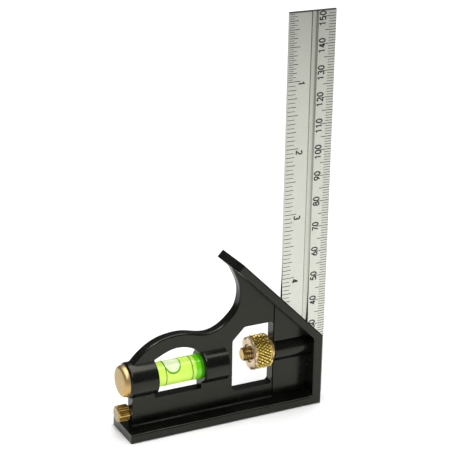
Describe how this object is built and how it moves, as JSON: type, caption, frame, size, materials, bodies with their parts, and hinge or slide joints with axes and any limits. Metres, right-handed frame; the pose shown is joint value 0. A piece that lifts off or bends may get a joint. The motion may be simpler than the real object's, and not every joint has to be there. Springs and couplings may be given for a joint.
{
  "type": "combination square",
  "caption": "Combination square: cast head with square and mitre faces, sliding graduated steel rule, knurled clamp nut, spirit vial and scriber.",
  "frame": {"origin": "on the plane of the base face, under the middle of the tool's overall length and width", "axes": "+Z along the blade away from the base face, +X along the base towards the blade, +Y from the grooved side of the blade to the plain side"},
  "size_m": [0.0868, 0.0176, 0.1524],
  "materials": {
    "head_enamel": "satin black stove enamel on a zinc casting",
    "blade_steel": "satin chromed steel with etched black graduations",
    "bolt_brass": "brass plated, threaded end",
    "nut_brass": "diamond knurled",
    "spring_steel": "spring wire",
    "vial_acrylic": "clear acrylic",
    "vial_plug_plastic": "gloss",
    "vial_spirit": "yellow-green spirit",
    "cap_brass": "turned satin",
    "knob_brass": "straight fluted",
    "needle_steel": "polished hardened steel",
    "bushing_brass": "turned"
  },
  "bodies": {
    "head": {"head_casting": "head_enamel", "vial_tube": "vial_acrylic", "vial_plug": "vial_plug_plastic", "vial_liquid": "vial_spirit", "vial_cap": "cap_brass", "scriber_bushing": "bushing_brass", "clamp_spring": "spring_steel"},
    "blade": {"blade": "blade_steel"},
    "nut": {"clamp_nut": "nut_brass"},
    "bolt": {"clamp_bolt": "bolt_brass"},
    "scriber": {"scriber_knob": "knob_brass", "scriber_needle": "needle_steel"}
  },
  "joints": [
    {"name": "blade_slide", "type": "slide", "parent": "head", "child": "blade", "axis": [0, 0, 1], "range_m": [-0.12, 0.015]},
    {"name": "nut_turn", "type": "hinge", "parent": "head", "child": "nut", "pos_m": [0.0144, 0, 0.0227], "axis": [-1, 0, 0], "range_deg": [0, 220]},
    {"name": "bolt_slide", "type": "slide", "parent": "head", "child": "bolt", "axis": [1, 0, 0], "range_m": [0, 0.000488]},
    {"name": "scriber_pull", "type": "slide", "parent": "head", "child": "scriber", "axis": [-1, 0, 0], "range_m": [0, 0.05]}
  ],
  "couplings": [
    {"joint": "nut_turn", "follows": "bolt_slide", "rad_per_m": 7854}
  ]
}
